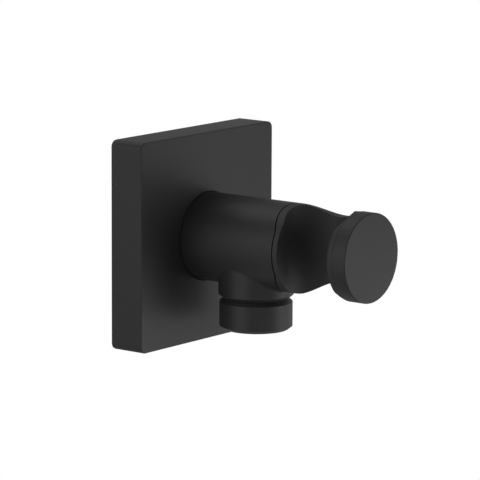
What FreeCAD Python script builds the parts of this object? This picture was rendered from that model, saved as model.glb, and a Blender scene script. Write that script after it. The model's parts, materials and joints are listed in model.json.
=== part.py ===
import FreeCAD, Part
import math
import os

# Wall outlet elbow: square wall plate, round arm, downward hose outlet and an open hand shower holder.
# Lengths are in millimetres. The wall is the plane Y = 0, the arm runs out along -Y, +Z is up, and the
# origin is where the water inlet's axis meets the wall.

V = FreeCAD.Vector
X, Y, Z = V(1, 0, 0), V(0, 1, 0), V(0, 0, 1)
OUT = V(0, -1, 0)
ORIGIN = V(0, 0, 0)

# Wall plate: a hollow square shell with a hub round the arm
PLATE_SIDE = 60.0
PLATE_DEPTH = 10.0
PLATE_CORNER = 2.0
PLATE_EDGE = 0.3
PLATE_SKIN = 2.2
RIM_WIDTH = 4.8
HUB_WALL = 3.8
HUB_SETBACK = 1.5
PLATE_GAP = 0.25

# Sealing cord in the rim's back, and the ring in the hub that grips the arm
CORD_WIDTH = 2.0
CORD_DEPTH = 1.4
GRIP_SECTION = 2.4
GRIP_SQUEEZE = 0.35
GRIP_SIDE_ROOM = 0.5

# Arm
ARM_R = 12.5
ARM_LENGTH = 68.5
ARM_SETBACK = 1.0
ARM_EDGE = 0.35

# Hose outlet under the arm, with a G 1/2 thread drawn at its outside diameter
OUTLET_OUT = 28.4
NECK_R = 10.7
NECK_DROP = 17.85
SADDLE_ROUND = 0.8
RELIEF_R = 9.27
RELIEF_DROP = 19.35
THREAD_R = 10.4
THREAD_TOP_DROP = 20.48
THREAD_BOTTOM_DROP = 27.15
THREAD_CHAMFER = 1.15

# Waterway
INLET_BORE_R = 8.0
INLET_BORE_DEPTH = 20.5
WATERWAY_R = 5.5
DOWN_BORE_R = 5.8
DOWN_BORE_RISE = 6.0
DRILL_POINT_ANGLE = 118.0
CARTRIDGE_BORE_R = 7.55
CARTRIDGE_SHOULDER_DROP = 12.4
MOUTH_CHAMFER = 0.4

# Holder: a seat cut down through the arm, open to -X, and the lining that sits in it
SEAT_R = 12.5
SEAT_X = -4.0
SEAT_OUT = 53.65
SEAT_MOUTH_NEAR = 43.3
END_DISC = 4.4
SEAT_CORNER = 2.5
LINING_GAP = 0.3
DISC_GAP = 0.06
DISC_DRAFT = 0.6
CONE_X = -4.7
CONE_OUT = 53.85
CONE_TOP_R = 9.85
CONE_BOTTOM_R = 9.6
LIP_WIDTH = 17.3
END_STEPS = 12
RIB_HEIGHT = 2.4
RIB_REACH = 0.6
RIB_GAP = 0.08

# Wall nipple
NIPPLE_THREAD_LENGTH = 14.0
NIPPLE_SHOULDER = 0.5
NIPPLE_REACH = 19.0
NIPPLE_FIT = 0.06
NIPPLE_BORE_R = 4.6
NIPPLE_CHAMFER = 1.2
NIPPLE_COLLAR = 2.0
THREAD_PITCH = 25.4 / 14
THREAD_DEPTH = 1.16
THREAD_CREST = 0.3
SPIGOT_CHAMFER = 0.8
HEX_ACROSS = 10.0
HEX_DEPTH = 7.5
RING_SECTION = 1.78
RING_SQUEEZE = 0.28
RING_SIDE_ROOM = 0.5
RING_BACK_OUT = 4.6
RING_FRONT_OUT = 8.6
RING_TOUCH = 0.01

# Grub screw that locks the arm on the nipple
SCREW_R = 2.0
SCREW_FIT = 0.04
SCREW_OUT = 14.2
SCREW_LENGTH = 5.0
SCREW_TIP_R = 0.5
SCREW_HEX_ACROSS = 2.0
SCREW_HEX_DEPTH = 2.2
LOCK_GROOVE_DEPTH = 1.1
LOCK_GROOVE_FLAT = 1.1
LOCK_GAP = 0.1

# Non-return cartridge in the outlet
CARTRIDGE_FIT = 0.08
CARTRIDGE_LENGTH = 14.0
CARTRIDGE_TOP_GAP = 0.2
SEAT_LAND = 4.4
SEAT_BORE_R = 4.4
CARTRIDGE_BORE_WALL = 1.5
CARTRIDGE_CHAMFER = 0.5
CARTRIDGE_RING_SECTION = 1.5
CARTRIDGE_RING_SQUEEZE = 0.2
CARTRIDGE_RING_DROP = 2.3
WASHER_R = 5.2
WASHER_THICK = 1.2
WASHER_HOLE_R = 1.7
WASHER_GAP = 0.02
HEAD_R = 4.9
HEAD_THICK = 1.1
NOSE_HEIGHT = 1.6
NOSE_RIM = 0.5
NOSE_WAIST = 0.1
STEM_R = 1.2
STEM_FIT = 0.08
STEM_SHORT = 1.2
GUIDE_RING_WALL = 1.0
GUIDE_RING_HEIGHT = 1.8
GUIDE_HUB_R = 2.2
GUIDE_HUB_HEIGHT = 3.4
GUIDE_FIT = 0.02
GUIDE_RIBS = 3
GUIDE_RIB_WIDTH = 1.2
SPRING_WIRE_R = 0.25
SPRING_MEAN_R = 3.3
SPRING_TURNS = 4.25
SPRING_GAP = 0.03

# Worked out from the sizes above
OUTLET_DROP = THREAD_BOTTOM_DROP + THREAD_CHAMFER
DISC_BACK = ARM_LENGTH - END_DISC
OUTLET_POINT = OUT * OUTLET_OUT
CARTRIDGE_R = CARTRIDGE_BORE_R - CARTRIDGE_FIT
CARTRIDGE_TOP_DROP = CARTRIDGE_SHOULDER_DROP + CARTRIDGE_TOP_GAP
CARTRIDGE_BOTTOM_DROP = CARTRIDGE_TOP_DROP + CARTRIDGE_LENGTH
CARTRIDGE_INNER_R = CARTRIDGE_R - CARTRIDGE_BORE_WALL
VALVE_SEAT_DROP = CARTRIDGE_TOP_DROP + SEAT_LAND
WASHER_TOP_DROP = VALVE_SEAT_DROP + WASHER_GAP
HEAD_TOP_DROP = WASHER_TOP_DROP + WASHER_THICK
HEAD_BOTTOM_DROP = HEAD_TOP_DROP + HEAD_THICK
GUIDE_RING_TOP_DROP = CARTRIDGE_BOTTOM_DROP - GUIDE_RING_HEIGHT
STEM_BOTTOM_DROP = CARTRIDGE_BOTTOM_DROP - STEM_SHORT
NIPPLE_R = INLET_BORE_R - NIPPLE_FIT
LOCK_GROOVE_HALF = LOCK_GROOVE_FLAT / 2 + LOCK_GROOVE_DEPTH
RING_INNER_R = INLET_BORE_R - RING_SECTION + RING_SQUEEZE
GRIP_OUTER_R = ARM_R + GRIP_SECTION - GRIP_SQUEEZE
CARTRIDGE_RING_INNER_R = CARTRIDGE_BORE_R - CARTRIDGE_RING_SECTION + CARTRIDGE_RING_SQUEEZE
PLATE_HOLE_R = ARM_R + PLATE_GAP
FAR = 2 * ARM_LENGTH


def turned(profile, start, along, outward):
    """A piece turned on a lathe: the profile lists radius and distance along the axis."""
    corners = [start + along * a + outward * r for r, a in profile]
    face = Part.Face(Part.makePolygon(corners + corners[:1]))
    return face.revolve(start, along, 360)


def about_arm(profile):
    """A turned piece on the arm's axis, distances counted out from the wall."""
    return turned(profile, ORIGIN, OUT, X)


def about_outlet(profile):
    """A turned piece on the outlet's axis, distances counted down from the arm's axis."""
    return turned(profile, OUTLET_POINT, -Z, X)


def rod(radius, start, along, length):
    return Part.makeCylinder(radius, length, start, along)


def squeezed_ring(section, inner_r, outer_r, place, along, outward):
    """A round-section ring, flattened where its groove and its mating wall squeeze it."""
    middle_r = (inner_r + outer_r) / 2
    circle = Part.makeCircle(section / 2, place + outward * middle_r, outward.cross(along))
    ring = Part.Face(Part.Wire(circle)).revolve(place, along, 360)
    start = place - along * section
    tube = rod(outer_r - RING_TOUCH, start, along, 2 * section)
    return ring.common(tube.cut(rod(inner_r + RING_TOUCH, start, along, 2 * section)))


def hexagon(across, start, along, outward, depth):
    """A hexagonal hole or bar, measured across its flats."""
    corner_r = across / math.sqrt(3)
    side = along.cross(outward)
    corners = []
    for step in range(6):
        turn = math.radians(60 * step)
        corners.append(start + outward * (corner_r * math.cos(turn)) + side * (corner_r * math.sin(turn)))
    return Part.Face(Part.makePolygon(corners + corners[:1])).extrude(along * depth)


def square_block(side, corner, out_from, out_to):
    """A square block centred on the arm's axis, with its four long edges rounded."""
    block = Part.makeBox(side, out_to - out_from, side, V(-side / 2, -out_to, -side / 2))
    edges = [e for e in block.Edges if e.BoundBox.XLength + e.BoundBox.ZLength < corner / 10]
    return block.makeFillet(corner, edges)


def wall_plate():
    """Square cover plate, hollow at the back, with a rim that meets the wall and a hub round the arm."""
    block = square_block(PLATE_SIDE, PLATE_CORNER, 0, PLATE_DEPTH)
    front = [e for e in block.Edges if e.BoundBox.YMax < -PLATE_DEPTH + PLATE_EDGE / 2]
    block = block.makeFillet(PLATE_EDGE, front)
    hollow_side = PLATE_SIDE - 2 * RIM_WIDTH
    hollow = square_block(hollow_side, PLATE_CORNER, -PLATE_SKIN, PLATE_DEPTH - PLATE_SKIN)
    hub = rod(GRIP_OUTER_R + HUB_WALL, OUT * HUB_SETBACK, OUT, PLATE_DEPTH - HUB_SETBACK - PLATE_SKIN / 2)
    plate = block.cut(hollow).fuse(hub)
    plate = plate.cut(rod(PLATE_HOLE_R, -OUT * PLATE_DEPTH, OUT, 3 * PLATE_DEPTH))
    groove_width = GRIP_SECTION + GRIP_SIDE_ROOM
    groove_start = grip_ring_out() - groove_width / 2
    plate = plate.cut(rod(GRIP_OUTER_R, OUT * groove_start, OUT, groove_width))
    return plate.cut(cord_band(0)).removeSplitter()


def grip_ring_out():
    """Distance from the wall to the ring in the hub, midway along the hub."""
    return (HUB_SETBACK + PLATE_DEPTH) / 2


def cord_band(inset):
    """The square band in the rim's back that the sealing cord fills, less a small inset all round."""
    middle = PLATE_SIDE - RIM_WIDTH
    outer = square_block(middle + CORD_WIDTH - 2 * inset, PLATE_CORNER, -PLATE_SKIN, CORD_DEPTH - inset)
    inner = square_block(middle - CORD_WIDTH + 2 * inset, PLATE_CORNER, -PLATE_SKIN, CORD_DEPTH)
    return outer.cut(inner)


def plate_seal():
    """Sealing cord, pressed flush with the wall."""
    wall_side = Part.makeBox(FAR, PLATE_DEPTH, FAR, V(-FAR / 2, -PLATE_DEPTH, -FAR / 2))
    return cord_band(RING_TOUCH).common(wall_side)


def plate_o_ring():
    return squeezed_ring(GRIP_SECTION, ARM_R, GRIP_OUTER_R, OUT * grip_ring_out(), OUT, X)


def seat_cut(inset, disc_inset, height):
    """The space cut down through the arm for the holder: round at the wall side, flat at the end disc.

    The insets draw the walls in, the flat one by an amount of its own.
    """
    reach = 3 * ARM_R
    bottom = -Z * (height / 2)
    seat = rod(SEAT_R - inset, V(SEAT_X, -SEAT_OUT, 0) + bottom, Z, height)
    far_side = SEAT_R + END_DISC
    disc_side = Part.makeBox(FAR, far_side, height,
                             V(SEAT_X - FAR / 2, -DISC_BACK - far_side + disc_inset, 0) + bottom)
    seat = seat.cut(disc_side)
    near, far = SEAT_MOUTH_NEAR + inset, DISC_BACK - disc_inset
    mouth = Part.makeBox(reach, far - near, height, V(SEAT_X - reach, -far, 0) + bottom)
    seat = seat.fuse(mouth).removeSplitter()
    corner_x = SEAT_X + math.sqrt(max(SEAT_R ** 2 - (DISC_BACK - SEAT_OUT) ** 2, 0))
    corners = [e for e in seat.Edges
               if e.BoundBox.XLength + e.BoundBox.YLength < DISC_GAP
               and abs(e.BoundBox.XMin - corner_x) < SEAT_CORNER]
    return seat.makeFillet(SEAT_CORNER - inset, corners)


def lining_rib(inset):
    """The low rib round the lining's outside that snaps into a groove in the seat."""
    height = RIB_HEIGHT - 2 * inset
    band = rod(SEAT_R - LINING_GAP + RIB_REACH - inset, V(SEAT_X, -SEAT_OUT, -height / 2), Z, height)
    keep = Part.makeBox(FAR, SEAT_OUT - SEAT_MOUTH_NEAR + SEAT_R, FAR, V(SEAT_X, -SEAT_OUT, -FAR / 2))
    return band.common(keep)


def outlet_outside():
    """Neck, thread relief and thread of the hose outlet."""
    return about_outlet([
        (0, 0), (NECK_R, 0), (NECK_R, NECK_DROP), (RELIEF_R, RELIEF_DROP), (THREAD_R, THREAD_TOP_DROP),
        (THREAD_R, THREAD_BOTTOM_DROP), (THREAD_R - THREAD_CHAMFER, OUTLET_DROP), (0, OUTLET_DROP)])


def waterway():
    """The bored inside: nipple bore, bore along the arm, drilled bore down to the cartridge's bore."""
    drill_point = DOWN_BORE_R / math.tan(math.radians(DRILL_POINT_ANGLE / 2))
    inlet = about_arm([
        (0, 0), (INLET_BORE_R + MOUTH_CHAMFER, 0), (INLET_BORE_R + MOUTH_CHAMFER, ARM_SETBACK),
        (INLET_BORE_R, ARM_SETBACK + MOUTH_CHAMFER), (INLET_BORE_R, INLET_BORE_DEPTH),
        (WATERWAY_R, INLET_BORE_DEPTH), (WATERWAY_R, OUTLET_OUT), (0, OUTLET_OUT)])
    outlet = about_outlet([
        (0, -DOWN_BORE_RISE - drill_point), (DOWN_BORE_R, -DOWN_BORE_RISE),
        (DOWN_BORE_R, CARTRIDGE_SHOULDER_DROP), (CARTRIDGE_BORE_R, CARTRIDGE_SHOULDER_DROP),
        (CARTRIDGE_BORE_R, OUTLET_DROP - MOUTH_CHAMFER), (CARTRIDGE_BORE_R + MOUTH_CHAMFER, OUTLET_DROP),
        (0, OUTLET_DROP)])
    return inlet.fuse(outlet)


def round_faces(edge, shape):
    """Radii of the round faces that meet at an edge."""
    faces = shape.ancestorsOfType(edge, Part.Face)
    return [f.Surface.Radius for f in faces if isinstance(f.Surface, Part.Cylinder)]


def elbow_body():
    """Arm, outlet and end disc in one casting, bored for water and cut for the holder."""
    arm = rod(ARM_R, OUT * ARM_SETBACK, OUT, ARM_LENGTH - ARM_SETBACK)
    front = [e for e in arm.Edges if e.BoundBox.YMax < -ARM_LENGTH + ARM_EDGE]
    arm = arm.makeFillet(ARM_EDGE, front)
    body = arm.fuse(outlet_outside()).removeSplitter()
    saddle = [e for e in body.Edges
              if sorted(round(r, 3) for r in round_faces(e, body)) == sorted([NECK_R, ARM_R])]
    body = body.makeFillet(SADDLE_ROUND, saddle)
    body = body.cut(waterway())
    body = body.cut(rod(SCREW_R, OUT * SCREW_OUT, -Z, 2 * ARM_R))
    body = body.cut(seat_cut(0, 0, 3 * ARM_R))
    return body.cut(lining_rib(-RIB_GAP))


def level_ends():
    """Room for the lining whose ends run level from the seat's edge in towards the seat's axis."""
    axis = V(SEAT_X, -SEAT_OUT, 0)
    sections = []
    for step in range(END_STEPS + 1):
        turn = math.pi * (step / END_STEPS - 1 / 2)
        inward = V(math.cos(turn), math.sin(turn), 0)
        rise = Z * math.sqrt(ARM_R ** 2 - (SEAT_X + SEAT_R * math.cos(turn)) ** 2)
        near, far = axis + inward * (CONE_BOTTOM_R / 2), axis + inward * (SEAT_R + ARM_R)
        corners = [near - rise, far - rise, far + rise, near + rise]
        sections.append(Part.makePolygon(corners + corners[:1]))
    open_side = Part.makeBox(FAR, FAR, FAR, V(SEAT_X - FAR, -SEAT_OUT - FAR / 2, -FAR / 2))
    return Part.makeLoft(sections, True, False).fuse(open_side)


def disc_draft():
    """The wedge that the lining gives up beside the end disc, wider towards the bottom."""
    top_edge = V(-FAR / 2, -DISC_BACK + DISC_GAP, ARM_R)
    wedge = Part.makeBox(FAR, ARM_R, FAR, top_edge - Y * ARM_R - Z * FAR)
    wedge.rotate(top_edge, X, -DISC_DRAFT)
    return wedge


def holder_liner():
    """Soft-touch lining of the holder, a C that the hand shower's cone drops into."""
    height = 3 * ARM_R
    block = seat_cut(LINING_GAP, DISC_GAP, height).common(rod(ARM_R, ORIGIN, OUT, ARM_LENGTH))
    block = block.fuse(lining_rib(0)).common(level_ends()).cut(disc_draft())
    slope = (CONE_TOP_R - CONE_BOTTOM_R) / (2 * ARM_R)
    high = CONE_TOP_R + slope * ARM_R
    low = CONE_BOTTOM_R - slope * ARM_R
    cone = Part.makeCone(low, high, 4 * ARM_R, V(CONE_X, -CONE_OUT, -2 * ARM_R), Z)
    mouth = Part.makeBox(3 * ARM_R, LIP_WIDTH, height,
                         V(CONE_X - 3 * ARM_R, -CONE_OUT - LIP_WIDTH / 2, -height / 2))
    return block.cut(cone).cut(mouth)


def inlet_thread():
    """Outline of the inlet's thread, its turns drawn as rings, from the back end to the plain collar."""
    outline = []
    start = -NIPPLE_THREAD_LENGTH + NIPPLE_CHAMFER
    turns = int((-NIPPLE_COLLAR - start) / THREAD_PITCH)
    for turn in range(turns):
        crest_end = start + turn * THREAD_PITCH + THREAD_CREST
        root = crest_end + (THREAD_PITCH - THREAD_CREST) / 2
        outline += [(THREAD_R, crest_end), (THREAD_R - THREAD_DEPTH, root),
                    (THREAD_R, crest_end + THREAD_PITCH - THREAD_CREST)]
    return outline


def wall_nipple():
    """Nipple that screws into the wall fitting and carries the arm on its two rings."""
    half = (RING_SECTION + RING_SIDE_ROOM) / 2
    bottom = RING_INNER_R
    lock_r = NIPPLE_R - LOCK_GROOVE_DEPTH
    outside = about_arm([
        (0, -NIPPLE_THREAD_LENGTH), (THREAD_R - NIPPLE_CHAMFER, -NIPPLE_THREAD_LENGTH),
        (THREAD_R, -NIPPLE_THREAD_LENGTH + NIPPLE_CHAMFER), *inlet_thread(), (THREAD_R, NIPPLE_SHOULDER),
        (NIPPLE_R, NIPPLE_SHOULDER),
        (NIPPLE_R, RING_BACK_OUT - half), (bottom, RING_BACK_OUT - half),
        (bottom, RING_BACK_OUT + half), (NIPPLE_R, RING_BACK_OUT + half),
        (NIPPLE_R, RING_FRONT_OUT - half), (bottom, RING_FRONT_OUT - half),
        (bottom, RING_FRONT_OUT + half), (NIPPLE_R, RING_FRONT_OUT + half),
        (NIPPLE_R, SCREW_OUT - LOCK_GROOVE_HALF), (lock_r, SCREW_OUT - LOCK_GROOVE_HALF + LOCK_GROOVE_DEPTH),
        (lock_r, SCREW_OUT + LOCK_GROOVE_HALF - LOCK_GROOVE_DEPTH), (NIPPLE_R, SCREW_OUT + LOCK_GROOVE_HALF),
        (NIPPLE_R, NIPPLE_REACH - SPIGOT_CHAMFER), (NIPPLE_R - SPIGOT_CHAMFER, NIPPLE_REACH),
        (0, NIPPLE_REACH)])
    bore = rod(NIPPLE_BORE_R, Y * (2 * NIPPLE_THREAD_LENGTH), OUT, FAR)
    key = hexagon(HEX_ACROSS, OUT * (NIPPLE_REACH - HEX_DEPTH), OUT, X, 2 * HEX_DEPTH)
    return outside.cut(bore).cut(key)


def nipple_o_ring(distance_out):
    return squeezed_ring(RING_SECTION, RING_INNER_R, INLET_BORE_R, OUT * distance_out, OUT, X)


def grub_screw():
    """Socket set screw under the arm, its right-angled cone in the nipple's lock groove."""
    tip = NIPPLE_R - LOCK_GROOVE_DEPTH + LOCK_GAP
    radius = SCREW_R - SCREW_FIT
    cone_end = tip + radius - SCREW_TIP_R
    start = OUT * SCREW_OUT
    screw = turned([(0, tip), (SCREW_TIP_R, tip), (radius, cone_end), (radius, tip + SCREW_LENGTH),
                    (0, tip + SCREW_LENGTH)], start, -Z, X)
    socket_start = start - Z * (tip + SCREW_LENGTH - SCREW_HEX_DEPTH)
    return screw.cut(hexagon(SCREW_HEX_ACROSS, socket_start, -Z, X, 2 * SCREW_HEX_DEPTH))


def valve_housing():
    """Sleeve of the non-return cartridge, with the valve seat at its top."""
    half = (CARTRIDGE_RING_SECTION + RING_SIDE_ROOM) / 2
    ring_drop = CARTRIDGE_TOP_DROP + CARTRIDGE_RING_DROP
    return about_outlet([
        (SEAT_BORE_R, CARTRIDGE_TOP_DROP), (CARTRIDGE_R - CARTRIDGE_CHAMFER, CARTRIDGE_TOP_DROP),
        (CARTRIDGE_R, CARTRIDGE_TOP_DROP + CARTRIDGE_CHAMFER), (CARTRIDGE_R, ring_drop - half),
        (CARTRIDGE_RING_INNER_R, ring_drop - half), (CARTRIDGE_RING_INNER_R, ring_drop + half),
        (CARTRIDGE_R, ring_drop + half), (CARTRIDGE_R, CARTRIDGE_BOTTOM_DROP),
        (CARTRIDGE_INNER_R, CARTRIDGE_BOTTOM_DROP), (CARTRIDGE_INNER_R, VALVE_SEAT_DROP),
        (SEAT_BORE_R, VALVE_SEAT_DROP)])


def valve_o_ring():
    place = OUTLET_POINT - Z * (CARTRIDGE_TOP_DROP + CARTRIDGE_RING_DROP)
    return squeezed_ring(CARTRIDGE_RING_SECTION, CARTRIDGE_RING_INNER_R, CARTRIDGE_BORE_R, place, Z, X)


def valve_guide():
    """Spoked guide in the cartridge's mouth: it holds the spring and leads the poppet's stem."""
    outer = CARTRIDGE_INNER_R - GUIDE_FIT
    ring = about_outlet([
        (outer - GUIDE_RING_WALL, GUIDE_RING_TOP_DROP), (outer, GUIDE_RING_TOP_DROP),
        (outer, CARTRIDGE_BOTTOM_DROP), (outer - GUIDE_RING_WALL, CARTRIDGE_BOTTOM_DROP)])
    spoke_end = outer - GUIDE_RING_WALL / 2
    guide = ring.fuse(rod(GUIDE_HUB_R, OUTLET_POINT - Z * CARTRIDGE_BOTTOM_DROP, Z, GUIDE_HUB_HEIGHT))
    for step in range(GUIDE_RIBS):
        spoke = Part.makeBox(spoke_end, GUIDE_RIB_WIDTH, GUIDE_RING_HEIGHT,
                             V(0, -GUIDE_RIB_WIDTH / 2, -CARTRIDGE_BOTTOM_DROP))
        spoke.rotate(ORIGIN, Z, 360 * step / GUIDE_RIBS + 90)
        spoke.translate(OUTLET_POINT)
        guide = guide.fuse(spoke)
    hole = rod(STEM_R + STEM_FIT, OUTLET_POINT - Z * (2 * CARTRIDGE_BOTTOM_DROP), Z, 2 * CARTRIDGE_BOTTOM_DROP)
    return guide.cut(hole).removeSplitter()


def valve_poppet():
    """Mushroom-shaped closing piece, with a nose that keeps the washer on."""
    waist = WASHER_HOLE_R - NOSE_WAIST
    return about_outlet([
        (0, WASHER_TOP_DROP - NOSE_HEIGHT), (waist, WASHER_TOP_DROP - NOSE_HEIGHT),
        (waist + NOSE_RIM, WASHER_TOP_DROP - NOSE_RIM), (waist + NOSE_RIM, WASHER_TOP_DROP - NOSE_WAIST),
        (waist, WASHER_TOP_DROP - NOSE_WAIST), (waist, HEAD_TOP_DROP), (HEAD_R, HEAD_TOP_DROP),
        (HEAD_R, HEAD_BOTTOM_DROP), (STEM_R, HEAD_BOTTOM_DROP), (STEM_R, STEM_BOTTOM_DROP),
        (0, STEM_BOTTOM_DROP)])


def valve_washer():
    """Rubber washer that closes on the seat."""
    return about_outlet([
        (WASHER_HOLE_R, WASHER_TOP_DROP), (WASHER_R, WASHER_TOP_DROP), (WASHER_R, HEAD_TOP_DROP),
        (WASHER_HOLE_R, HEAD_TOP_DROP)])


def valve_spring():
    """Compression spring between the guide's spokes and the poppet's head."""
    low = GUIDE_RING_TOP_DROP - SPRING_WIRE_R - SPRING_GAP
    high = HEAD_BOTTOM_DROP + SPRING_WIRE_R + SPRING_GAP
    rise = low - high
    helix = Part.makeHelix(rise / SPRING_TURNS, rise, SPRING_MEAN_R)
    wire = Part.Wire(Part.makeCircle(SPRING_WIRE_R, V(SPRING_MEAN_R, 0, 0), Y))
    spring = Part.Wire(helix.Edges).makePipeShell([wire], True, True)
    spring.translate(OUTLET_POINT - Z * low)
    return spring


PIECES = {
    "wall_plate": wall_plate,
    "plate_seal": plate_seal,
    "plate_o_ring": plate_o_ring,
    "elbow_body": elbow_body,
    "holder_liner": holder_liner,
    "wall_nipple": wall_nipple,
    "nipple_o_ring_back": lambda: nipple_o_ring(RING_BACK_OUT),
    "nipple_o_ring_front": lambda: nipple_o_ring(RING_FRONT_OUT),
    "grub_screw": grub_screw,
    "valve_housing": valve_housing,
    "valve_o_ring": valve_o_ring,
    "valve_guide": valve_guide,
    "valve_poppet": valve_poppet,
    "valve_washer": valve_washer,
    "valve_spring": valve_spring,
}

os.makedirs("parts", exist_ok=True)
for name, make in PIECES.items():
    piece = make()
    piece.exportStep(f"parts/{name}.step")
    print(name, "solids", len(piece.Solids), "valid", piece.isValid(), "volume", round(piece.Volume, 1))
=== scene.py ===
# %% [markdown]
# # A wall outlet elbow with a hand shower holder
# This part brings shower water out of a wall. A square plate covers the hole in the tiles, a round
# arm carries the water out, a threaded outlet points down for the hose, and the arm's end is cut out
# to hold the hand shower. The solids come from the CAD frame. Blender gives them soft edges, real
# finishes, a screw thread and a small studio.

# %% Load the frame
import bmesh
import bpy
import json
import math
from mathutils import Matrix, Vector


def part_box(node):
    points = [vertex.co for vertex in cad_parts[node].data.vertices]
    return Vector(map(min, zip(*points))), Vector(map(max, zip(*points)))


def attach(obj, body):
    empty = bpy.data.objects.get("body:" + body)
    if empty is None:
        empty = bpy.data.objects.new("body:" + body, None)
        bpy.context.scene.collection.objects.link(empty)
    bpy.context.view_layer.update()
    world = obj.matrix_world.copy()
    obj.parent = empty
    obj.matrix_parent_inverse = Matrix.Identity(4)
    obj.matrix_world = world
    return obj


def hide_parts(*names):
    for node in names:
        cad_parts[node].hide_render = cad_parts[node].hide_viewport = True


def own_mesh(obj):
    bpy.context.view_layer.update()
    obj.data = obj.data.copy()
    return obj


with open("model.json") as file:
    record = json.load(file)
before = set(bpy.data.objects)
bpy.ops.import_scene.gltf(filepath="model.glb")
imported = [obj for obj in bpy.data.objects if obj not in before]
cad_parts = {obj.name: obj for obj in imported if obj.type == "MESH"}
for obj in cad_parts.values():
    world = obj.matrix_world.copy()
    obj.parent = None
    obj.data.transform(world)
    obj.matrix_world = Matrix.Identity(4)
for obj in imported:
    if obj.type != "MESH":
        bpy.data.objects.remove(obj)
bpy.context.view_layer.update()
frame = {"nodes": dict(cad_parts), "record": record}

MM = 0.001

# %% [markdown]
# ## Finishes first
# Every finish is a Principled BSDF fed by small procedural patterns. The patterns read Object
# coordinates. Each piece's mesh sits where the piece is, so one set of coordinates runs through the
# whole product, and a grain of half a millimetre is that size everywhere.
#
# Two effects are shared by several finishes, so each is a node group with named inputs. `fine_grain`
# is the soft unevenness of a sprayed or moulded skin. `turning_marks` is the fine ringing that a
# lathe tool leaves round an axis.

# %% Small helpers for node trees
def add_node(tree, kind, **settings):
    """Adds a node, sets its properties and returns it."""
    node = tree.nodes.new(kind)
    for key, value in settings.items():
        setattr(node, key, value)
    return node


def math_node(tree, operation, first, second=None, clamp=False):
    """Adds a Math node fed by sockets or plain numbers and returns its output."""
    node = add_node(tree, "ShaderNodeMath", operation=operation, use_clamp=clamp)
    for place, value in enumerate((first, second)):
        if value is None:
            continue
        if isinstance(value, (int, float)):
            node.inputs[place].default_value = value
        else:
            tree.links.new(value, node.inputs[place])
    return node.outputs[0]


def new_group(name, kind, inputs, outputs):
    """Starts a node group with named sockets, each given as (name, socket type, default)."""
    tree = bpy.data.node_groups.new(name, kind)
    for label, socket, default in inputs:
        item = tree.interface.new_socket(name=label, in_out="INPUT", socket_type=socket)
        if default is not None:
            item.default_value = default
    for label, socket in outputs:
        tree.interface.new_socket(name=label, in_out="OUTPUT", socket_type=socket)
    return tree, add_node(tree, "NodeGroupInput"), add_node(tree, "NodeGroupOutput")


# %% Fine grain of a sprayed or moulded skin
GRAIN_DETAIL = 2.0
CLOUD_DETAIL = 3.0


def build_fine_grain():
    """Height of a fine grain, and a slow cloud between 0 and 1 that shifts colour and gloss."""
    tree, given, result = new_group(
        "fine_grain", "ShaderNodeTree",
        [("Grain Scale", "NodeSocketFloat", 2500.0), ("Cloud Scale", "NodeSocketFloat", 60.0)],
        [("Height", "NodeSocketFloat"), ("Cloud", "NodeSocketFloat")])
    place = add_node(tree, "ShaderNodeTexCoord")
    grain = add_node(tree, "ShaderNodeTexNoise")
    grain.inputs["Detail"].default_value = GRAIN_DETAIL
    cloud = add_node(tree, "ShaderNodeTexNoise")
    cloud.inputs["Detail"].default_value = CLOUD_DETAIL
    for texture, scale in ((grain, "Grain Scale"), (cloud, "Cloud Scale")):
        tree.links.new(place.outputs["Object"], texture.inputs["Vector"])
        tree.links.new(given.outputs[scale], texture.inputs["Scale"])
    tree.links.new(grain.outputs["Fac"], result.inputs["Height"])
    tree.links.new(cloud.outputs["Fac"], result.inputs["Cloud"])
    return tree


fine_grain = build_fine_grain()
print("group", fine_grain.name, [s.name for s in fine_grain.interface.items_tree])


# %% Turning marks of a lathe
WANDER_SCALE = 300.0


def build_turning_marks():
    """Fine rings round the Y axis: their height, and a streak between 0 and 1 for colour and gloss."""
    tree, given, result = new_group(
        "turning_marks", "ShaderNodeTree",
        [("Ring Scale", "NodeSocketFloat", 2200.0), ("Wander", "NodeSocketFloat", 0.35)],
        [("Height", "NodeSocketFloat"), ("Streak", "NodeSocketFloat")])
    place = add_node(tree, "ShaderNodeTexCoord")
    split = add_node(tree, "ShaderNodeSeparateXYZ")
    tree.links.new(place.outputs["Object"], split.inputs[0])
    wander = add_node(tree, "ShaderNodeTexNoise")
    tree.links.new(place.outputs["Object"], wander.inputs["Vector"])
    wander.inputs["Scale"].default_value = WANDER_SCALE
    along = math_node(tree, "MULTIPLY", split.outputs["Y"], given.outputs["Ring Scale"])
    shift = math_node(tree, "MULTIPLY", wander.outputs["Fac"], given.outputs["Wander"])
    rings = add_node(tree, "ShaderNodeTexNoise", noise_dimensions="1D")
    rings.inputs["Scale"].default_value = 1.0
    tree.links.new(math_node(tree, "ADD", along, shift), rings.inputs["W"])
    tree.links.new(rings.outputs["Fac"], result.inputs["Height"])
    tree.links.new(rings.outputs["Fac"], result.inputs["Streak"])
    return tree


turning_marks = build_turning_marks()
print("group", turning_marks.name, [s.name for s in turning_marks.interface.items_tree])

# %% [markdown]
# ## One function for every finish
# A finish is a base colour that a pattern shifts a little, a roughness that the same pattern varies,
# and a very low bump. Numbers that are the same all over, such as the specular level, are set on the
# shader itself.

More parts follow.
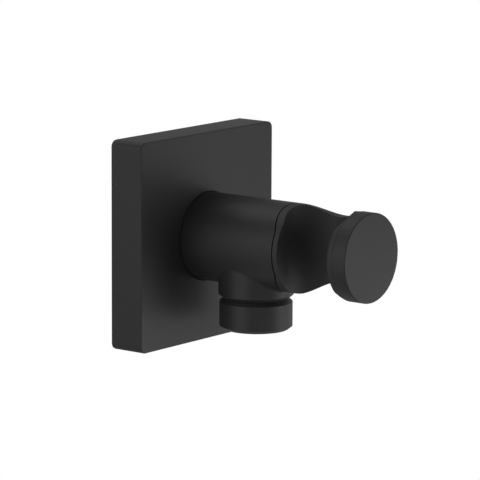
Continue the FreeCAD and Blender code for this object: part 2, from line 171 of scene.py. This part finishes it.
# %% Finish builder
def finish_material(name, dark, light, roughness, relief, pattern, **shader):
    """A material whose colour runs from dark to light and whose roughness runs over its range."""
    material = bpy.data.materials.new(name)
    material.use_nodes = True
    tree = material.node_tree
    surface = tree.nodes["Principled BSDF"]
    for socket, value in shader.items():
        surface.inputs[socket.replace("_", " ")].default_value = value
    group, group_values, shift_output = pattern
    marks = add_node(tree, "ShaderNodeGroup", node_tree=group)
    for socket, value in group_values.items():
        marks.inputs[socket].default_value = value
    tint = add_node(tree, "ShaderNodeMix", data_type="RGBA")
    tint.inputs["A"].default_value = (*dark, 1)
    tint.inputs["B"].default_value = (*light, 1)
    tree.links.new(marks.outputs[shift_output], tint.inputs["Factor"])
    tree.links.new(tint.outputs["Result"], surface.inputs["Base Color"])
    spread = add_node(tree, "ShaderNodeMapRange")
    spread.inputs["To Min"].default_value, spread.inputs["To Max"].default_value = roughness
    tree.links.new(marks.outputs[shift_output], spread.inputs["Value"])
    tree.links.new(spread.outputs["Result"], surface.inputs["Roughness"])
    bump = add_node(tree, "ShaderNodeBump")
    bump.inputs["Distance"].default_value = relief
    tree.links.new(marks.outputs["Height"], bump.inputs["Height"])
    tree.links.new(bump.outputs["Normal"], surface.inputs["Normal"])
    return material


# %% Patterns: a group, its values, and the output that shifts colour and roughness
SPRAYED = (fine_grain, {"Grain Scale": 2600.0, "Cloud Scale": 55.0}, "Cloud")
MOULDED = (fine_grain, {"Grain Scale": 3600.0, "Cloud Scale": 80.0}, "Cloud")
TURNED = (turning_marks, {"Ring Scale": 2400.0, "Wander": 0.4}, "Streak")


def grey(level):
    """A neutral colour."""
    return (level, level, level)


print("patterns", len((SPRAYED, MOULDED, TURNED)))

# %% The finishes of this product
finishes = {
    "black_coat": finish_material(
        "black_coat", dark=grey(0.030), light=grey(0.034), roughness=(0.44, 0.50),
        relief=0.004 * MM, pattern=SPRAYED, Specular_IOR_Level=0.35),
    "black_plastic": finish_material(
        "black_plastic", dark=grey(0.033), light=grey(0.037), roughness=(0.52, 0.60),
        relief=0.005 * MM, pattern=MOULDED, Specular_IOR_Level=0.4),
    "rubber": finish_material(
        "rubber", dark=grey(0.016), light=grey(0.022), roughness=(0.6, 0.75),
        relief=0.004 * MM, pattern=MOULDED),
    "white_plastic": finish_material(
        "white_plastic", dark=(0.72, 0.72, 0.70), light=(0.78, 0.78, 0.76), roughness=(0.32, 0.42),
        relief=0.002 * MM, pattern=MOULDED),
    "brass": finish_material(
        "brass", dark=(0.58, 0.41, 0.17), light=(0.68, 0.50, 0.22), roughness=(0.22, 0.36),
        relief=0.003 * MM, pattern=TURNED, Metallic=1.0),
    "dark_steel": finish_material(
        "dark_steel", dark=grey(0.05), light=grey(0.08), roughness=(0.35, 0.5),
        relief=0.002 * MM, pattern=TURNED, Metallic=1.0),
    "spring_steel": finish_material(
        "spring_steel", dark=grey(0.50), light=grey(0.60), roughness=(0.25, 0.35),
        relief=0.002 * MM, pattern=TURNED, Metallic=1.0),
}
print("finishes", sorted(finishes))

# %% [markdown]
# ## Give every solid its finish
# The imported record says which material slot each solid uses, so the finishes are shared out from the
# record instead of being listed again.

# %% Finishes on the frame's own solids
slot_of = {part["node"]: part["material_slot"] for part in frame["record"]["subparts"]}
bodies = frame["record"]["behaviour"]["bodies"]
body_of_node = {node: body for body, nodes in bodies.items() for node in nodes}
for node, slot_name in slot_of.items():
    solid = frame["nodes"][node].data
    solid.materials.clear()
    solid.materials.append(finishes[slot_name])
print("finished solids", len(slot_of))

# %% [markdown]
# ## Small corrections against the photograph
# Fitting the camera to the photograph showed three departures in the solids: the outlet's neck is
# about three millimetres too long, the plate one millimetre too shallow and the arm four tenths of a
# millimetre too thin. The frame's meshes stay as they are, so the copies are corrected while they are
# made. One function places every point on the arm and in its outlet, so pieces that touch in the
# solids still touch.
#
# Above the arm's underside everything swells with the arm. Below it, each level of the outlet has a
# height in the solids and a corrected height, both in millimetres from the arm's axis, and the points
# in between are shared out evenly.

# %% Where the points of the arm, the outlet and the plate belong
ARM_SWELL = 12.7 / 12.5
ARM_STRETCH = 68.8 / 68.5
OUTLET_LEVELS = {
    "underside of the arm": (-12.5, -12.7),
    "end of the neck": (-17.85, -14.65),
    "bottom of the relief": (-19.35, -15.8),
    "top of the collar": (-20.48, -16.85),
    "chamfer of the collar": (-27.15, -23.8),
    "end of the outlet": (-28.3, -24.7),
}
PLATE_FRONT = -7.5 * MM
PLATE_DEEPER = 1.0 * MM


def on_arm(point):
    """Place of a point of the arm or the outlet after the correction."""
    x, y, z = point
    levels = list(OUTLET_LEVELS.values())
    if z >= levels[0][0] * MM:
        return Vector((x * ARM_SWELL, y * ARM_STRETCH, z * ARM_SWELL))
    for (high, new_high), (low, new_low) in zip(levels, levels[1:]):
        if z >= low * MM:
            break
    share = (z / MM - high) / (low - high)
    return Vector((x, y * ARM_STRETCH, (new_high + (new_low - new_high) * share) * MM))


def on_plate(point):
    """Place of a point of the plate: its front and the skin behind it stand further out."""
    x, y, z = point
    return Vector((x, y - PLATE_DEEPER if y < PLATE_FRONT else y, z))


for level, (solid_height, corrected_height) in OUTLET_LEVELS.items():
    print(level, solid_height, "becomes", corrected_height, "mm")

# %% [markdown]
# ## Soft edges on cast, sprayed and moulded pieces
# A CAD solid arrives as loose triangles with knife edges. A sprayed coat rounds an edge by about a
# tenth of a millimetre, and the plate's edge by three tenths. That thin line of light is what makes an
# edge look real. The frame's own mesh must stay as it is, so each outer piece is copied, its doubled
# points are merged, flat areas are joined into single faces, and a Bevel modifier rounds the edges
# that turn sharply.

# %% Copy, merge and round a solid
SHARP_TURN = math.radians(28)
FLAT_TURN = math.radians(0.4)
MERGE_GAP = 0.0005 * MM
EDGE_SEGMENTS = 2


def rounded_copy(node, edge_width, place):
    """A merged copy of a solid, each point placed anew, with its sharp edges rounded."""
    mesh = frame["nodes"][node].data.copy()
    mesh.name = f"{node}_surface"
    work = bmesh.new()
    work.from_mesh(mesh)
    bmesh.ops.remove_doubles(work, verts=work.verts, dist=MERGE_GAP)
    for vertex in work.verts:
        vertex.co = place(vertex.co)
    bmesh.ops.dissolve_limit(work, angle_limit=FLAT_TURN, verts=work.verts, edges=work.edges)
    for face in work.faces:
        face.smooth = True
    for edge in work.edges:
        edge.smooth = len(edge.link_faces) == 2 and edge.calc_face_angle(0.0) < SHARP_TURN
    work.to_mesh(mesh)
    work.free()
    piece = bpy.data.objects.new(f"{node}_surface", mesh)
    bpy.context.scene.collection.objects.link(piece)
    if edge_width:
        bevel = piece.modifiers.new("soft_edges", "BEVEL")
        bevel.width = edge_width
        bevel.segments = EDGE_SEGMENTS
        bevel.limit_method = "ANGLE"
        bevel.angle_limit = SHARP_TURN
        bevel.harden_normals = True
    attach(piece, body_of_node[node])
    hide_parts(node)
    print(piece.name, "faces", len(mesh.polygons))
    return piece


# %% The outer pieces
PLATE_EDGE = 0.3 * MM
BODY_EDGE = 0.10 * MM
LINING_EDGE = 0.12 * MM
SCREW_EDGE = 0.05 * MM

rounded_copy("wall_plate", PLATE_EDGE, on_plate)
rounded_copy("elbow_body", BODY_EDGE, on_arm)
rounded_copy("holder_liner", LINING_EDGE, on_arm)
rounded_copy("grub_screw", SCREW_EDGE, on_arm)

# %% The cartridge in the outlet
SLEEVE_EDGE = 0.10 * MM
GUIDE_EDGE = 0.08 * MM
NO_EDGE = 0

rounded_copy("valve_housing", SLEEVE_EDGE, on_arm)
rounded_copy("valve_guide", GUIDE_EDGE, on_arm)
for node in ("valve_o_ring", "valve_poppet", "valve_washer"):
    rounded_copy(node, NO_EDGE, on_arm)

# %% [markdown]
# ## The spring
# The spring stands on the guide and carries the poppet, and in the valve it shortens as the poppet
# slides down. Here it is copied like the other pieces and given a mesh of its own.

spring = rounded_copy("valve_spring", NO_EDGE, on_arm)
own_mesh(spring)

# %% [markdown]
# ## A real thread on the wall nipple
# The nipple screws into the wall fitting with a pipe thread of fourteen threads to the inch. The CAD
# draws each turn as a closed ring. A thread follows a rule, so Geometry Nodes make it: the tree moves
# each point of a smooth turned surface inwards by an amount that depends on how far along the axis it
# is and on its angle. Where both change together, the result is a helix.

# %% Turned surface round the Y axis
def turned_surface(name, rows, steps):
    """A closed turned mesh. Each row is (radius, y), and a radius may be a function of the angle."""
    points, faces = [], []
    for radius, y in rows:
        for step in range(steps):
            angle = 2 * math.pi * step / steps
            r = radius(angle) if callable(radius) else radius
            points.append((r * math.sin(angle), y, r * math.cos(angle)))
    for row in range(len(rows)):
        below, above = row * steps, (row + 1) % len(rows) * steps
        for step in range(steps):
            after = (step + 1) % steps
            faces.append((below + step, below + after, above + after, above + step))
    mesh = bpy.data.meshes.new(name)
    mesh.from_pydata(points, [], faces)
    work = bmesh.new()
    work.from_mesh(mesh)
    bmesh.ops.recalc_face_normals(work, faces=work.faces)
    for edge in work.edges:
        edge.smooth = edge.calc_face_angle(0.0) < SHARP_TURN
    work.to_mesh(mesh)
    work.free()
    mesh.shade_smooth()
    return mesh


# %% Sizes of the nipple, read from its solid
nipple_low, nipple_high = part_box("wall_nipple")
CREST_R = nipple_high.x
BACK_END, FRONT_END = nipple_high.y, nipple_low.y
BORE_R = 4.6 * MM
SPIGOT_R = 7.94 * MM
SHOULDER_Y = -0.5 * MM
COLLAR_END = 3.73 * MM
LEAD_IN = 1.2 * MM
SPIGOT_CHAMFER = 0.8 * MM
THREAD_PITCH = 25.4 * MM / 14
THREAD_DEPTH = 1.162 * MM
THREAD_ROWS = 90
ROUND_STEPS = 144
KEY_ACROSS = 10.0 * MM
KEY_DEPTH = 7.5 * MM
RING_GROOVES = (-4.6 * MM, -8.6 * MM)
GROOVE_HALF = 1.14 * MM
GROOVE_R = 6.5 * MM
LOCK_Y, LOCK_HALF, LOCK_DEPTH = -14.2 * MM, 1.65 * MM, 1.1 * MM
SIXTH = math.pi / 3


def key_radius(angle):
    """Distance from the axis to the wall of a hexagonal socket at an angle."""
    return KEY_ACROSS / 2 / math.cos(angle % SIXTH - SIXTH / 2)


# %% The nipple's smooth rows
rows = [(CREST_R - LEAD_IN, BACK_END)]
for row in range(THREAD_ROWS + 1):
    y = BACK_END - LEAD_IN + (SHOULDER_Y - BACK_END + LEAD_IN) * row / THREAD_ROWS
    rows.append((CREST_R, y))
rows.append((SPIGOT_R, SHOULDER_Y))
for middle in RING_GROOVES:
    rows += [(SPIGOT_R, middle + GROOVE_HALF), (GROOVE_R, middle + GROOVE_HALF),
             (GROOVE_R, middle - GROOVE_HALF), (SPIGOT_R, middle - GROOVE_HALF)]
rows += [(SPIGOT_R, LOCK_Y + LOCK_HALF), (SPIGOT_R - LOCK_DEPTH, LOCK_Y + LOCK_HALF - LOCK_DEPTH),
         (SPIGOT_R - LOCK_DEPTH, LOCK_Y - LOCK_HALF + LOCK_DEPTH), (SPIGOT_R, LOCK_Y - LOCK_HALF),
         (SPIGOT_R, FRONT_END + SPIGOT_CHAMFER), (SPIGOT_R - SPIGOT_CHAMFER, FRONT_END),
         (key_radius, FRONT_END), (key_radius, FRONT_END + KEY_DEPTH), (BORE_R, FRONT_END + KEY_DEPTH),
         (BORE_R, BACK_END)]
nipple_mesh = turned_surface("nipple_rows", rows, ROUND_STEPS)
print("nipple rows", len(rows), "points", len(nipple_mesh.vertices))


# %% The thread-cutting tree
FLANK_SLOPE = 2.6
CREST_FLAT = 0.15
CREST_TOLERANCE = 0.01 * MM


def build_thread_tree():
    """Geometry Nodes tree that cuts a helical thread round the Y axis into a turned surface."""
    tree, given, result = new_group(
        "screw_thread", "GeometryNodeTree",
        [("Surface", "NodeSocketGeometry", None), ("Pitch", "NodeSocketFloat", THREAD_PITCH),
         ("Depth", "NodeSocketFloat", THREAD_DEPTH), ("Start", "NodeSocketFloat", COLLAR_END),
         ("End", "NodeSocketFloat", BACK_END), ("Run Out", "NodeSocketFloat", LEAD_IN),
         ("Crest Radius", "NodeSocketFloat", CREST_R), ("Finish", "NodeSocketMaterial", None)],
        [("Thread", "NodeSocketGeometry")])
    place = add_node(tree, "GeometryNodeInputPosition")
    split = add_node(tree, "ShaderNodeSeparateXYZ")
    tree.links.new(place.outputs[0], split.inputs[0])
    x, y, z = split.outputs
    turns = math_node(tree, "DIVIDE", math_node(tree, "ARCTAN2", x, z), 2 * math.pi)
    along = math_node(tree, "DIVIDE", y, given.outputs["Pitch"])
    phase = math_node(tree, "FRACT", math_node(tree, "ADD", along, turns))
    ridge = math_node(tree, "ABSOLUTE", math_node(tree, "SUBTRACT", phase, 0.5))
    slope = math_node(tree, "MULTIPLY", ridge, FLANK_SLOPE)
    flank = math_node(tree, "SUBTRACT", slope, CREST_FLAT, clamp=True)
    enter = math_node(tree, "DIVIDE", math_node(tree, "SUBTRACT", y, given.outputs["Start"]),
                      given.outputs["Run Out"], clamp=True)
    leave = math_node(tree, "DIVIDE", math_node(tree, "SUBTRACT", given.outputs["End"], y),
                      given.outputs["Run Out"], clamp=True)
    flat = add_node(tree, "ShaderNodeCombineXYZ")
    tree.links.new(x, flat.inputs["X"])
    tree.links.new(z, flat.inputs["Z"])
    outward = add_node(tree, "ShaderNodeVectorMath", operation="NORMALIZE")
    tree.links.new(flat.outputs[0], outward.inputs[0])
    reach = add_node(tree, "ShaderNodeVectorMath", operation="LENGTH")
    tree.links.new(flat.outputs[0], reach.inputs[0])
    nearly_crest = math_node(tree, "SUBTRACT", given.outputs["Crest Radius"], CREST_TOLERANCE)
    outer = math_node(tree, "GREATER_THAN", reach.outputs["Value"], nearly_crest)
    cut = math_node(tree, "MULTIPLY", flank, given.outputs["Depth"])
    cut = math_node(tree, "MULTIPLY", cut, math_node(tree, "MULTIPLY", enter, leave))
    inward = add_node(tree, "ShaderNodeVectorMath", operation="SCALE")
    tree.links.new(outward.outputs[0], inward.inputs[0])
    tree.links.new(math_node(tree, "MULTIPLY", cut, -1.0), inward.inputs["Scale"])
    move = add_node(tree, "GeometryNodeSetPosition")
    tree.links.new(given.outputs["Surface"], move.inputs["Geometry"])
    tree.links.new(outer, move.inputs["Selection"])
    tree.links.new(inward.outputs[0], move.inputs["Offset"])
    real = add_node(tree, "GeometryNodeRealizeInstances")
    tree.links.new(move.outputs[0], real.inputs[0])
    coat = add_node(tree, "GeometryNodeSetMaterial")
    tree.links.new(real.outputs[0], coat.inputs["Geometry"])
    tree.links.new(given.outputs["Finish"], coat.inputs["Material"])
    tree.links.new(coat.outputs[0], result.inputs[0])
    return tree


thread_tree = build_thread_tree()
print("tree", thread_tree.name, "nodes", len(thread_tree.nodes))


# %% Run the tree and keep its result as a plain mesh
def made_by_tree(name, mesh, tree, values):
    """Runs a tree over a mesh and returns a new object with the finished mesh."""
    carrier = bpy.data.objects.new(f"{name}_carrier", mesh)
    bpy.context.scene.collection.objects.link(carrier)
    run = carrier.modifiers.new(tree.name, "NODES")
    run.node_group = tree
    for item in tree.interface.items_tree:
        if item.in_out == "INPUT" and item.name in values:
            run[item.identifier] = values[item.name]
    shown = carrier.evaluated_get(bpy.context.evaluated_depsgraph_get())
    made = bpy.data.meshes.new_from_object(shown)
    bpy.data.objects.remove(carrier)
    piece = bpy.data.objects.new(name, made)
    bpy.context.scene.collection.objects.link(piece)
    return piece


nipple = made_by_tree("nipple_with_thread", nipple_mesh, thread_tree, {
    "Pitch": THREAD_PITCH, "Depth": THREAD_DEPTH, "Start": COLLAR_END, "End": BACK_END - LEAD_IN / 2,
    "Run Out": THREAD_PITCH / 3, "Crest Radius": CREST_R, "Finish": finishes["brass"]})
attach(nipple, body_of_node["wall_nipple"])
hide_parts("wall_nipple")
print(nipple.name, "faces", len(nipple.data.polygons))

# %% [markdown]
# ## A pale floor and an even white background
# The part hangs on its inlet, so the floor lies well below it. Floor and world look white to the
# camera and to rays that pass through something clear. A mirrored ray meets that white at three tenths
# of its strength, because a black coat mirrors the room it is in, and the full white turns the arm's
# dark contours pale. Every other ray meets a dark grey world and a plain floor.

# %% Floor and world
ROOM_GREY = 0.08
MIRRORED_WHITE = 0.3
FLOOR_GREY = 0.55
FLOOR_ROUGHNESS = 0.9
FLOOR_DROP = 0.75
FLOOR_SIZE = 6.0


def seen_white(tree, other, target):
    """White for the camera and for clear things, part white for mirrors, else the other shader."""
    path = add_node(tree, "ShaderNodeLightPath")
    white = add_node(tree, "ShaderNodeEmission")
    white.inputs["Color"].default_value = (*grey(1), 1)
    white.inputs["Strength"].default_value = 1.0
    choose = add_node(tree, "ShaderNodeMixShader")
    mirrored = math_node(tree, "MULTIPLY", path.outputs["Is Glossy Ray"], MIRRORED_WHITE)
    straight = math_node(tree, "MAXIMUM",
                         path.outputs["Is Camera Ray"], path.outputs["Is Transmission Ray"])
    tree.links.new(math_node(tree, "MAXIMUM", straight, mirrored), choose.inputs[0])
    tree.links.new(other, choose.inputs[1])
    tree.links.new(white.outputs[0], choose.inputs[2])
    tree.links.new(choose.outputs[0], target)


floor_paint = bpy.data.materials.new("pale_floor")
floor_paint.use_nodes = True
floor_shader = floor_paint.node_tree.nodes["Principled BSDF"]
floor_shader.inputs["Base Color"].default_value = (*grey(FLOOR_GREY), 1)
floor_shader.inputs["Roughness"].default_value = FLOOR_ROUGHNESS
floor_output = floor_paint.node_tree.nodes["Material Output"]
seen_white(floor_paint.node_tree, floor_shader.outputs[0], floor_output.inputs["Surface"])

floor_mesh = bpy.data.meshes.new("floor")
half = FLOOR_SIZE / 2
corners = [(x * half, y * half, -FLOOR_DROP) for x, y in ((-1, -1), (1, -1), (1, 1), (-1, 1))]
floor_mesh.from_pydata(corners, [], [(0, 1, 2, 3)])
floor_mesh.materials.append(floor_paint)
floor = bpy.data.objects.new("floor", floor_mesh)
bpy.context.scene.collection.objects.link(floor)

world = bpy.data.worlds.new("studio")
bpy.context.scene.world = world
world.use_nodes = True
room = world.node_tree.nodes["Background"]
room.inputs["Color"].default_value = (*grey(ROOM_GREY), 1)
room.inputs["Strength"].default_value = 1.0
seen_white(world.node_tree, room.outputs[0], world.node_tree.nodes["World Output"].inputs["Surface"])
print("floor", FLOOR_DROP, "m below the arm")

# %% [markdown]
# ## Soft studio light
# Large, weak area lamps give slow gradients on the round arm. The strongest stand in front and to the
# right, mostly low, so the arm shades the plate to its left and the plate below it stays lit. The arm
# mirrors only what is behind it, so lamps to the left and behind reach past the plate: the arm is dark
# at its root and grows lighter towards its end. One above and behind lights the plate's top edge, and
# one beside the camera draws the thin line of light on the plate's upright edge.

# %% Lamps
AIM = Vector((0, -28 * MM, 0))
LAMP_DISTANCE = 0.9
LAMP_SIZE = 0.55


def from_angles(azimuth, elevation):
    """A direction away from the part. Azimuth 0 is straight out from the wall, 90 is to its right."""
    turn, rise = math.radians(azimuth), math.radians(elevation)
    return Vector((math.sin(turn) * math.cos(rise), -math.cos(turn) * math.cos(rise), math.sin(rise)))


def soft_lamp(name, angles, watts):
    """A square area lamp that faces the arm from a given direction."""
    data = bpy.data.lights.new(name, "AREA")
    data.shape = "SQUARE"
    data.size = LAMP_SIZE
    data.energy = watts
    lamp = bpy.data.objects.new(name, data)
    bpy.context.scene.collection.objects.link(lamp)
    away = from_angles(*angles)
    lamp.location = AIM + away * LAMP_DISTANCE
    lamp.rotation_mode = "QUATERNION"
    lamp.rotation_quaternion = away.to_track_quat("Z", "Y")


soft_lamp("front_low", (35, -28), 1.55)
soft_lamp("front_right", (25, 5), 1.3)
soft_lamp("right_low", (75, -25), 0.55)
soft_lamp("front_above", (0, 30), 0.4)
soft_lamp("left", (-106, 20), 0.95)
soft_lamp("left_low", (-100, -15), 0.95)
soft_lamp("back_left", (-142, 10), 0.55)
soft_lamp("above_behind", (180, 60), 0.85)
soft_lamp("by_camera", (-38, -5), 0.4)

# %% [markdown]
# ## The camera
# The picture was taken with a long lens from the left of the arm and a little above it. The camera's
# aim, direction, distance, roll and focal length were worked out from the plate's corners and the
# outline of the arm, the disc and the collar.

# %% Camera
TARGET = Vector((28.989 * MM, 0, -6.472 * MM))
AZIMUTH = -52.041
ELEVATION = 10.005
ROLL = math.radians(0.274)
DISTANCE = 1000.237 * MM
FOCAL_PIXELS = 3383.8
IMAGE_PIXELS = 480
SENSOR = 36.0
NEAR_CLIP, FAR_CLIP = 0.05, 20.0

camera_data = bpy.data.cameras.new("camera")
camera_data.sensor_width = SENSOR
camera_data.lens = FOCAL_PIXELS / IMAGE_PIXELS * SENSOR
camera = bpy.data.objects.new("camera", camera_data)
bpy.context.scene.collection.objects.link(camera)
back = from_angles(AZIMUTH, ELEVATION)
camera.location = TARGET + back * DISTANCE
camera.rotation_mode = "QUATERNION"
level_view = back.to_track_quat("Z", "Y")
camera.rotation_quaternion = level_view @ Matrix.Rotation(ROLL, 3, "Z").to_quaternion()
camera_data.clip_start, camera_data.clip_end = NEAR_CLIP, FAR_CLIP
bpy.context.scene.camera = camera
bpy.context.scene.view_settings.view_transform = "Standard"
print("lens", round(camera_data.lens, 1), "mm")
